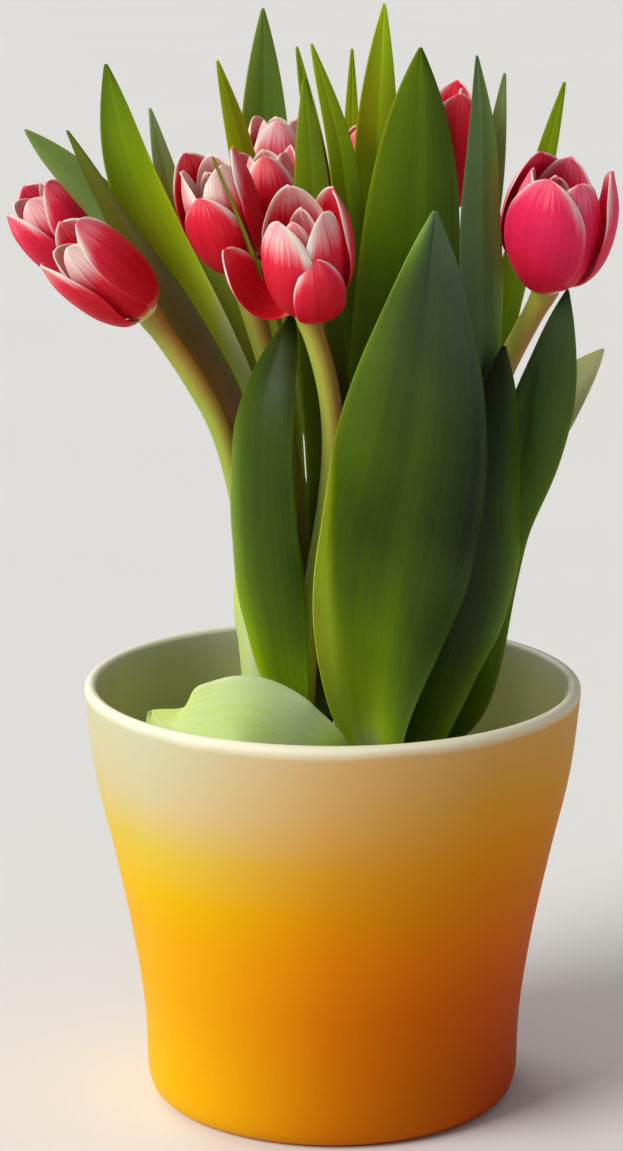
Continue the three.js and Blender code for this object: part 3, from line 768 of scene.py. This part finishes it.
# %% Petal finishes
def petal_finish(name, shades, rough, sheen):
    petal = Recipe(name)
    uv = petal.uv()
    streaks = petal.noise(uv, 1, detail=2, rough=0.6, stretch=(20, 1, 1))
    veins = petal.noise(uv, 1, detail=1, stretch=(70, 3, 1))
    soft = petal.noise(petal.object_place(), 70, detail=2)
    level = petal.math("MULTIPLY_ADD", streaks, 0.56, petal.attribute("blush"))
    level = petal.math("MULTIPLY_ADD", soft, 0.3, petal.math("SUBTRACT", level, 0.43))
    color = petal.ramp(level, *shades)
    deep = petal.math("MULTIPLY", petal.attribute("heart"), level, clamped=True)
    color = petal.blend(deep, color, paint(226, 20, 40))
    # The rose blend is partly the bloom's own hue and partly a painted magenta sheen.
    rosy_sheen = petal.math("MULTIPLY", petal.attribute("rose_and_sheen"), petal.math("ADD", soft, 0.5), clamped=True)
    color = petal.blend(rosy_sheen, color, paint(240, 50, 140))
    length = petal.node("SeparateXYZ", {0: uv}).outputs["Y"]
    root = petal.ramp(length, (0.0, (1, 1, 1, 1)), (0.13, (0, 0, 0, 1)))
    color = petal.blend(root, color, paint(236, 190, 110))
    petal.bump(veins, 0.12, 0.0005)
    return petal.finish(
        color,
        Roughness=rough,
        Specular_IOR_Level=0.15,
        Subsurface_Weight=0.25,
        Subsurface_Scale=0.002,
        Sheen_Weight=sheen,
        Sheen_Roughness=0.5,
        Sheen_Tint=paint(255, 130, 190),
    )


inside = petal_finish(
    "petal inside",
    [
        (0.0, paint(255, 240, 228)),
        (0.14, paint(254, 200, 194)),
        (0.3, paint(250, 128, 140)),
        (0.5, paint(238, 40, 66)),
        (1.0, paint(208, 6, 30)),
    ],
    0.5,
    0.05,
)
outside = petal_finish(
    "petal outside",
    [
        (0.0, paint(255, 240, 228)),
        (0.16, paint(255, 210, 206)),
        (0.3, paint(255, 150, 164)),
        (0.44, paint(254, 92, 122)),
        (0.66, paint(252, 48, 86)),
        (0.85, paint(248, 20, 58)),
        (1.0, paint(228, 8, 42)),
    ],
    0.45,
    0.3,
)
for name, bloom in blooms.items():
    bloom.data.materials.clear()
    bloom.data.materials.append(inside)
    bloom.data.materials.append(outside)
    finish_piece(bloom, "bloom_" + name)
print("petal finishes ready")

# %% [markdown]
# ## Leaves
# A tulip's leaf clasps the stem in a sheath, then opens into a long blade with a rounded channel and
# gently waving margins. So each leaf's width, cup and direction change along its path: tight and
# turned to the stem at the root, open and turned its own way above. The broad front leaf and the
# drooping one belong to a plant that has no bloom.
#
# - side and layer say where its sheath lies round the stem: which way, and how far out
# - look is the way its hollow side faces below and above, and tilt how far that is tipped up
# - widest is where along it the blade is widest, and blunt how blunt it ends
# - curl rolls a margin inwards, and fold turns a margin in and paints it bright yellow-green, as
#   painted light shining through it
# - tone is how light it is at its root, middle and tip, with three values from margin to margin; this
#   is painted light and shade, dark where the leaf lies in shade and bright where light comes through
# - wax is the grey bloom of the skin and also a painted bluish sheen, and rust a reddish flush that is
#   partly painted shadow and red reflected from a nearby bloom

# %% Leaves on the left
BLIND_FOOT = (14, -26)
LEAVES = {
    "far_left": {
        "foot": "far_left", "side": 215, "layer": 0, "width": 15, "cup": (0.5, 0.4), "look": (60, 70),
        "widest": 0.7,
        "points": [
            (-22, 17, 150), (-21, 20, 195), (-26, 23, 218), (-37, 24, 241), (-58, 21, 271),
            (-79, 16, 295), (-97, 10, 314),
        ],
        "tone": ((0.5, 0.5, 0.5), (0.4, 0.44, 0.46), (0.52, 0.48, 0.52)), "wax_and_sheen": (0.2, 0.4, 0.3),
    },
    "left_stem": {
        "foot": "left", "side": 40, "layer": 0, "width": 18, "cup": (0.6, 0.4), "look": (235, 225),
        "points": [
            (-16, -3, 150), (-21, 0, 190), (-31, 3, 222), (-46, 4, 253), (-64, 3, 282), (-83, -2, 315),
        ],
        "tone": ((0.6, 0.52, 0.5), (0.44, 0.26, 0.2), (0.3, 0.45, 0.3)), "rust_and_shade": 1.3,
    },
    "left_sheath": {
        "foot": "left", "side": -120, "layer": 0, "width": 17, "cup": (0.8, 0.7), "look": (60, 60),
        "widest": 0.6, "blunt": 3,
        "points": [(-24, -14, 135), (-26, -15, 160), (-29, -15, 184)],
        "tone": ((0.9, 0.95, 0.9), (0.95, 0.98, 0.9), (0.9, 0.95, 0.88)), "wax_and_sheen": (0.3, 0.3, 0.3),
    },
    "left_tall": {
        "foot": "centre_left", "side": 160, "layer": 0, "width": 20, "cup": (0.5, 0.35),
        "look": (-95, -95), "widest": 0.5,
        "points": [
            (-16, 11, 140), (-21, 14, 175), (-27, 15, 212), (-40, 14, 245), (-55, 11, 278), (-65, 8, 305),
            (-71, 4, 335),
        ],
        "tone": ((0.9, 0.9, 0.95), (0.8, 0.88, 0.98), (0.36, 0.48, 0.42)),
    },
    "left_inner": {
        "foot": "centre_left", "side": 90, "layer": 1, "width": 13, "cup": (0.45, 0.4),
        "look": (-80, -75),
        "points": [
            (-10, 17, 145), (-13, 25, 185), (-21, 27, 221), (-31, 27, 244), (-41, 25, 267),
            (-51, 21, 290), (-58, 17, 320),
        ],
        "tone": ((0.88, 0.9, 0.9), (0.86, 0.88, 0.86), (0.76, 0.74, 0.72)), "wax_and_sheen": (0, 0.1, 0.8),
    },
    "front_left": {
        "foot": "front", "side": 200, "layer": 0, "width": 27, "cup": (0.6, 0.45), "look": (60, 50),
        "widest": 0.6, "blunt": 2.8,
        "points": [
            (-15, -26, 134), (-19, -29, 160), (-23, -30, 186), (-24, -30, 211), (-21, -26, 236),
            (-13, -14, 260),
        ],
        "tone": ((0.75, 0.65, 0.98), (0.2, 0.25, 0.5), (0.1, 0.1, 0.15)),
    },
    "thin_front": {
        "foot": "centre_left", "side": -60, "layer": 0, "width": 8, "cup": (0.6, 0.6), "look": (30, 10),
        "points": [
            (-9, -4, 140), (-13, -8, 180), (-14, -10, 215), (-18, -8, 249), (-22, -9, 265),
            (-26, -13, 280), (-37, -20, 309),
        ],
        "tone": ((0.4, 0.5, 0.5), (0.4, 0.45, 0.4), (0.5, 0.34, 0.45)), "rust_and_shade": 1,
    },
    "back_left_narrow": {
        "foot": "back_left", "side": -80, "layer": 0, "width": 13, "cup": (0.5, 0.45), "look": (110, 120),
        "points": [(-11, 29, 150), (-15, 31, 200), (-20, 34, 255), (-28, 34, 300), (-37, 28, 334)],
        "tone": ((0.4, 0.4, 0.4), (0.72, 0.7, 0.66), (0.7, 0.68, 0.62)), "rust_and_shade": 0.2,
    },
    "back_left_tall": {
        "foot": "back_left", "side": 90, "layer": 0, "width": 21, "cup": (0.5, 0.35), "look": (-80, -80),
        "points": [(-16, 45, 150), (-20, 53, 200), (-22, 61, 255), (-23, 64, 302), (-23, 61, 348)],
        "tone": ((0.4, 0.4, 0.35), (0.54, 0.5, 0.4), (0.48, 0.42, 0.36)), "wax_and_sheen": (0, 0.05, 0.15),
    },
    "back_slim": {
        "foot": "back_left", "side": 20, "layer": 1, "width": 9, "cup": (0.5, 0.4), "look": (-90, -90),
        "points": [(2, 43, 150), (1, 52, 220), (-4, 58, 290), (-12, 56, 336)],
        "tone": ((0.4, 0.4, 0.4), (0.5, 0.5, 0.5), (0.55, 0.5, 0.5)),
    },
}
print("leaves on the left:", len(LEAVES))

# %% Leaves in the middle
LEAVES |= {
    "front_large": {
        "foot": BLIND_FOOT, "side": 70, "layer": 0, "width": 55, "cup": (0.45, 0.3), "look": (-90, -82),
        "curl": (1, 0), "widest": 0.5, "blunt": 2,
        "points": [
            (12, -27, 138), (13, -33, 165), (17, -38, 193), (23, -40, 222), (27, -38, 253),
            (31, -33, 294),
        ],
        "tone": ((1.1, 1.1, 0.45), (0.5, 0.27, 0.0), (0.5, 0.06, 0.0)), "wax_and_sheen": (0.1, 0, 0.2),
        "fold": (1, 0),
    },
    "drooping": {
        "foot": BLIND_FOOT, "side": -110, "layer": 0, "width": 37, "cup": (0.4, 0.3), "look": (80, 70),
        "tilt": -35, "widest": 0.66, "blunt": 3,
        "points": [
            (5, -39, 112), (-10, -46, 126), (-27, -48, 136), (-41, -44, 133), (-51, -37, 131),
            (-57, -31, 136),
        ],
        "tone": ((0.1, 0.1, 0.1), (1, 0.96, 0.88), (0.88, 0.93, 0.9)), "wax_and_sheen": (0, 0.55, 0.2),
    },
    "centre_upright": {
        "foot": "front", "side": 60, "layer": 0, "width": 16, "cup": (0.5, 0.35), "look": (-95, -100),
        "points": [(-2, -10, 140), (0, -4, 180), (-2, 0, 229), (-5, 1, 267), (-7, 1, 302), (-9, 0, 331)],
        "tone": ((0.2, 0.2, 0.2), (0.5, 0.36, 0.2), (0.56, 0.5, 0.4)), "rust_and_shade": 0.4,
    },
    "centre_striped": {
        "foot": "middle", "side": 40, "layer": 0, "width": 12, "cup": (0.5, 0.45), "look": (-80, -70),
        "points": [(16, 16, 145), (13, 20, 200), (7, 23, 260), (2, 22, 306), (-7, 20, 340)],
        "tone": ((0.2, 0.2, 0.2), (0.46, 0.36, 0.14), (0.68, 0.68, 0.56)),
    },
    "back_tallest": {
        "foot": "middle", "side": 75, "layer": 1, "width": 18, "cup": (0.5, 0.4), "look": (-100, -95),
        "points": [
            (14, 23, 145), (14, 28, 185), (14, 30, 220), (14, 30, 260), (14, 30, 310), (16, 28, 352),
        ],
        "tone": ((0.2, 0.2, 0.2), (0.4, 0.34, 0.28), (0.76, 0.72, 0.56)),
    },
    "back_tip": {
        "foot": "back", "side": 110, "layer": 0, "width": 8, "cup": (0.4, 0.35), "look": (-90, -90),
        "points": [(10, 44, 150), (7, 54, 220), (6, 60, 290), (6, 60, 335)],
        "tone": ((0.4, 0.4, 0.4), (0.5, 0.5, 0.5), (0.62, 0.6, 0.55)),
    },
    "rear_centre": {
        "foot": "back", "side": 80, "layer": 2, "width": 21, "cup": (0.6, 0.4), "look": (-90, -90),
        "points": [(14, 50, 140), (13, 62, 180), (10, 73, 222), (6, 84, 260)],
        "tone": ((0.5, 0.5, 0.5), (0.45, 0.45, 0.45), (0.55, 0.55, 0.5)), "wax_and_sheen": (0.2, 0.3, 0.3),
    },
}
print("leaves so far:", len(LEAVES))

# %% Leaves on the right
LEAVES |= {
    "back_right_slim": {
        "foot": "back", "side": 10, "layer": 1, "width": 11, "cup": (0.45, 0.4), "look": (-95, -90),
        "points": [(23, 38, 150), (36, 42, 220), (50, 44, 285), (55, 40, 329)],
        "tone": ((0.4, 0.4, 0.4), (0.5, 0.5, 0.5), (0.6, 0.64, 0.6)), "wax_and_sheen": (0.3, 0.6, 0.6),
    },
    "right_broad": {
        "foot": "right", "side": 110, "layer": 0, "width": 35, "cup": (0.5, 0.3), "look": (-92, -90),
        "points": [
            (21, 0, 140), (19, 6, 175), (20, 9, 205), (22, 10, 240), (24, 9, 273), (26, 8, 308),
            (27, 6, 340),
        ],
        "tone": ((0.2, 0.1, 0.1), (0.48, 0.3, 0.08), (0.46, 0.42, 0.24)),
    },
    "right_tall": {
        "foot": "right", "side": -40, "layer": 0, "width": 16, "cup": (0.5, 0.45), "look": (120, 110),
        "points": [
            (34, -12, 145), (39, -13, 180), (44, -14, 215), (47, -15, 257), (46, -14, 291),
            (46, -12, 315), (44, -10, 339),
        ],
        "tone": ((0.2, 0, 0), (0.5, 0.2, 0.05), (0.55, 0.36, 0.2)), "wax_and_sheen": (0, 0.2, 0.3),
    },
    "behind_right_bloom": {
        "foot": "right", "side": 60, "layer": 1, "width": 11, "cup": (0.5, 0.45), "look": (-100, -100),
        "points": [(34, 7, 150), (45, 14, 205), (55, 19, 256), (64, 21, 290), (73, 20, 328)],
        "tone": ((0.4, 0.4, 0.4), (0.5, 0.5, 0.45), (0.56, 0.56, 0.5)),
    },
    "lower_right": {
        "foot": "back_right", "side": -80, "layer": 1, "width": 23, "cup": (0.5, 0.4), "look": (60, 60),
        "widest": 0.7, "blunt": 2.6,
        "points": [
            (42, 0, 130), (47, -7, 160), (52, -12, 192), (61, -14, 218), (67, -14, 240), (73, -13, 267),
        ],
        "tone": ((0.3, 0.3, 0.25), (0.38, 0.3, 0.2), (0.14, 0.12, 0.1)), "wax_and_sheen": (0, 0.05, 0.1),
    },
    "lower_right_pale": {
        "foot": "back_right", "side": 20, "layer": 0, "width": 21, "cup": (0.55, 0.4),
        "look": (-120, -120), "widest": 0.7, "blunt": 3,
        "points": [(43, 18, 140), (48, 16, 170), (58, 13, 205), (72, 9, 227), (86, 6, 245)],
        "tone": ((0.6, 0.7, 0.8), (0.95, 1, 1.05), (0.94, 0.98, 1.02)), "wax_and_sheen": (0.1, 0.1, 0.1),
    },
    "right_dark": {
        "foot": "right", "side": -80, "layer": 1, "width": 31, "cup": (0.5, 0.4), "look": (120, 115),
        "widest": 0.55, "blunt": 2.4,
        "points": [
            (32, -21, 130), (41, -24, 155), (47, -25, 182), (49, -24, 208), (51, -20, 230),
            (53, -17, 250),
        ],
        "tone": ((0.5, 0.46, 0.4), (0.4, 0.1, 0.02), (0.2, 0.05, 0)),
    },
    "rear_right": {
        "foot": "back_right", "side": 60, "layer": 1, "width": 20, "cup": (0.6, 0.4),
        "look": (-105, -110),
        "points": [(38, 32, 140), (44, 47, 180), (47, 60, 220), (48, 72, 254)],
        "tone": ((0.45, 0.45, 0.45), (0.45, 0.45, 0.45), (0.55, 0.55, 0.5)), "wax_and_sheen": (0.2, 0.3, 0.3),
    },
}
print("leaves in all:", len(LEAVES))

# %% Leaf shape
FIRST_SHEATH, LAYER_GAP, SHEATH_CUP = STEM_RADIUS + 1.2, 1.5, 1.15
LEAF_TIP = 0.4
WAVE, FINE_WAVE, GROOVE, FOLD_LIFT = 0.045, 0.012, 0.2, 1.3
# A folded-in margin is painted bright yellow-green, as light shining through it.
PALE_MARGIN, FOLDED_GLOW = 0.08, 0.85
LEAF_ROWS, LEAF_COLUMNS, FOLDED_COLUMNS = 44, 12, 40


def compass(degrees):
    return Vector((math.cos(math.radians(degrees)), math.sin(math.radians(degrees)), 0))


def turned_in(leaf, u, v):
    """How far a point lies on the margin that is folded in, from 0 to 1."""
    crease = 0.4 + 5 * (v - 0.26) ** 2
    return leaf.get("fold", (0, 0))[0 if u < 0 else 1] * smooth((abs(u) - crease) / 0.2)


def leaf_place(leaf):
    foot = PLANTS[leaf["foot"]]["foot"] if isinstance(leaf["foot"], str) else leaf["foot"]
    side, width, cup, curl = leaf["side"], leaf["width"], leaf["cup"], leaf.get("curl", (0, 0))
    widest, blunt = leaf.get("widest", 0.38), leaf.get("blunt", 5)
    out = compass(side)
    wrap = FIRST_SHEATH + LAYER_GAP * leaf["layer"]
    root = Vector((*foot, 0)) + out * wrap
    path = Path([root + UP * z for z in (SOIL_TOP - 10, SOIL_TOP, SOIL_TOP + 9)] + leaf["points"])
    looks = [compass(angle) for angle in leaf["look"]]
    for look in looks:
        look.z = math.tan(math.radians(leaf.get("tilt", 0)))
    rows = {}

    def half_width(t):
        if t < widest:
            return mix(wrap * SHEATH_CUP, width / 2, smooth(t / widest))
        narrowed = 1 - ((t - widest) / (1 - widest)) ** blunt
        return LEAF_TIP + (width / 2 - LEAF_TIP) * narrowed

    def row(v):
        t = 1 - (1 - v) ** 1.15
        turned, opened, above = [smooth((t - a) / b) for a, b in ((0.06, 0.3), (0.06, 0.28), (0.4, 0.6))]
        along = path.along(t)
        look = (-out).lerp(looks[0], turned).lerp(looks[1], above)
        normal = (look - along * look.dot(along)).normalized()
        open_cup = mix(mix(SHEATH_CUP, cup[0], opened), cup[1], above)
        return t, path.at(t), normal, along.cross(normal), half_width(t), open_cup

    def place(u, v):
        if v not in rows:
            rows[v] = row(v)
        t, point, normal, sideways, reach, open_cup = rows[v]
        roll = curl[0 if u < 0 else 1] * smooth(t / 0.3) * smooth((0.75 - t) / 0.25)
        across, rise = section(u, open_cup, roll)
        free = smooth((t - 0.15) / 0.2)
        start = side + (2 if u < 0 else 0)
        wave = WAVE * width * u * u * free * math.sin(14 * t + start)
        fine = FINE_WAVE * width * u**4 * free * math.sin(41 * t + side + start)
        rib = -GROOVE * math.exp(-((u / 0.09) ** 2)) * smooth(t / 0.3)
        over = FOLD_LIFT * turned_in(leaf, u, v)
        return point + sideways * across * reach + normal * (rise * reach + wave + fine + rib + over)

    return place


def from_three(values, share):
    """Goes smoothly from the first value through the second, half-way, to the third."""
    return mix(mix(values[0], values[1], smooth(2 * share)), values[2], smooth(2 * share - 1))


def leaf_tones(leaf):
    def tone(u, v):
        level = from_three([from_three(row, (u + 1) / 2) for row in leaf["tone"]], v)
        pale_margin = PALE_MARGIN * smooth((abs(u) - 0.88) / 0.12)
        # A margin that is folded in takes a bright painted glow.
        return mix(level + pale_margin, FOLDED_GLOW, turned_in(leaf, u, v))

    # The reddish-brown flush is partly painted shadow and red reflected from a nearby bloom.
    def rust_and_shade(u, v):
        upwards = smooth(v / 0.4) * (1 - smooth(v - 0.3))
        return leaf.get("rust_and_shade", 0) * math.exp(-((u / 1.1) ** 2)) * upwards

    wax_and_sheen = leaf.get("wax_and_sheen", (0, 0, 0))
    return {
        "across": lambda u, v: u,
        "tone": tone,
        "wax_and_sheen": lambda u, v: from_three(wax_and_sheen, v),
        "rust_and_shade": rust_and_shade,
    }


leaves = {}
for name, leaf in LEAVES.items():
    columns = FOLDED_COLUMNS if "fold" in leaf else LEAF_COLUMNS
    sheet = bent_grid("Leaf_" + name, columns, LEAF_ROWS, leaf_place(leaf), leaf_tones(leaf))
    leaves[name] = thicken(sheet)
print("leaf faces:", sum(len(leaf.data.polygons) for leaf in leaves.values()))

# %% [markdown]
# A leaf's colour runs from a blackish green through mid green to a bright yellow-green. Its tones are
# painted light and shade: blackish where the leaf lies in shade, yellow-green where light comes through
# it. Faint parallel veins run all the way up, the skin has a greyish wax that rubs off in patches and
# also stands for a painted bluish sheen, and the underside is a little paler and duller than the upper
# side.


# %% Leaf finishes
def leaf_finish(name, lift, rough):
    blade = Recipe(name)
    uv = blade.uv()
    veins = blade.noise(uv, 1, detail=2, rough=0.6, stretch=(30, 0.7, 1))
    fine = blade.noise(uv, 1, detail=1, stretch=(120, 1.5, 1))
    patch = blade.noise(blade.object_place(), 30, detail=2)
    # The tone on each point is painted light and shade: dark where a leaf lies in shade, bright where lit
    # through.
    level = blade.math("MULTIPLY_ADD", veins, 0.12, blade.attribute("tone"))
    level = blade.math("MULTIPLY_ADD", patch, 0.14, blade.math("SUBTRACT", level, 0.13 - lift))
    green = blade.ramp(
        level,
        (0.0, paint(20, 28, 10)),
        (0.15, paint(46, 62, 12)),
        (0.3, paint(68, 92, 10)),
        (0.45, paint(100, 130, 10)),
        (0.6, paint(136, 166, 12)),
        (0.75, paint(176, 204, 26)),
        (0.88, paint(208, 234, 60)),
        (1.0, paint(236, 244, 184)),
    )
    # The wax blend is partly the skin's grey bloom and partly a painted bluish sheen.
    bloom = blade.math("MULTIPLY_ADD", patch, 0.8, 0.5)
    bloom = blade.math("MULTIPLY", bloom, blade.attribute("wax_and_sheen"), clamped=True)
    color = blade.blend(bloom, green, paint(130, 165, 126))
    # The rust blend is partly a reddish flush and partly painted shadow with reflected red.
    rust_and_shade = blade.math("MULTIPLY", blade.attribute("rust_and_shade"), blade.math("ADD", veins, 0.35), clamped=True)
    color = blade.blend(rust_and_shade, color, paint(98, 58, 14))
    ridges = blade.math("ADD", fine, blade.math("MULTIPLY", veins, 1.5))
    blade.bump(ridges, 0.1, 0.0005)
    return blade.finish(
        color, Roughness=rough, Specular_IOR_Level=0.12, Subsurface_Weight=0.12, Subsurface_Scale=0.002
    )


upper = leaf_finish("leaf upper side", 0.0, 0.4)
under = leaf_finish("leaf underside", 0.03, 0.48)
for name, leaf in leaves.items():
    leaf.data.materials.append(upper)
    leaf.data.materials.append(under)
    finish_piece(leaf, "leaf_" + name)
print("leaf finishes ready")

# %% [markdown]
# ## Floor, light and camera
# The pot stands on a wide, plain, pale floor. One broad soft light comes from high on the left, and
# gives the long shade on the right side of the pot. A weaker one behind lights the leaves from the
# back, and the pale surroundings fill the rest. The camera looks down a little.

# %% Floor
floor = new_primitive(bpy.ops.mesh.primitive_plane_add, "Floor", size=60)
pale = Recipe("floor")
tint = pale.noise(pale.object_place(), 3)
pale.finish(pale.blend(tint, paint(232, 231, 229), paint(236, 235, 233)), Roughness=0.9)
floor.data.materials.append(pale.material)
world = bpy.data.worlds.new("Studio")
bpy.context.scene.world = world
world.use_nodes = True
world.node_tree.nodes["Background"].inputs["Color"].default_value = paint(236, 238, 242)
world.node_tree.nodes["Background"].inputs["Strength"].default_value = 0.3
print("floor", floor.dimensions.to_tuple(1))


# %% Lights
def soft_light(name, direction, spread, strength, color):
    """A light as from a far window: direction points from the pot to it."""
    bpy.ops.object.light_add(type="SUN")
    lamp = bpy.context.object
    lamp.name, lamp.data.energy, lamp.data.color = name, strength, color
    lamp.data.angle = math.radians(spread)
    lamp.rotation_mode = "QUATERNION"
    lamp.rotation_quaternion = Vector(direction).to_track_quat("Z", "Y")


soft_light("Key", (-1.1, -0.64, 0.9), 35, 2.7, (1, 0.98, 0.94))
soft_light("Back", (-0.6, 0.9, 0.8), 40, 0.8, (1, 1, 0.96))
print("two lights")

# %% Camera
LOOKS_DOWN, LOOKS_LEFT = 0.2331, 0.0062
FOCAL_LENGTH, PICTURE_SIDE, SENSOR_WIDTH = 3526.7, 1151, 36
tripod = {"location": (0, -1.1, 0.4335), "rotation": (math.radians(90) - LOOKS_DOWN, 0, LOOKS_LEFT)}
bpy.ops.object.camera_add(**tripod)
camera = bpy.context.object
camera.data.lens = FOCAL_LENGTH / PICTURE_SIDE * SENSOR_WIDTH
camera.data.sensor_width = SENSOR_WIDTH
bpy.context.scene.camera = camera
bpy.context.scene.view_settings.view_transform = "Standard"
print("lens", round(camera.data.lens, 1), "mm")
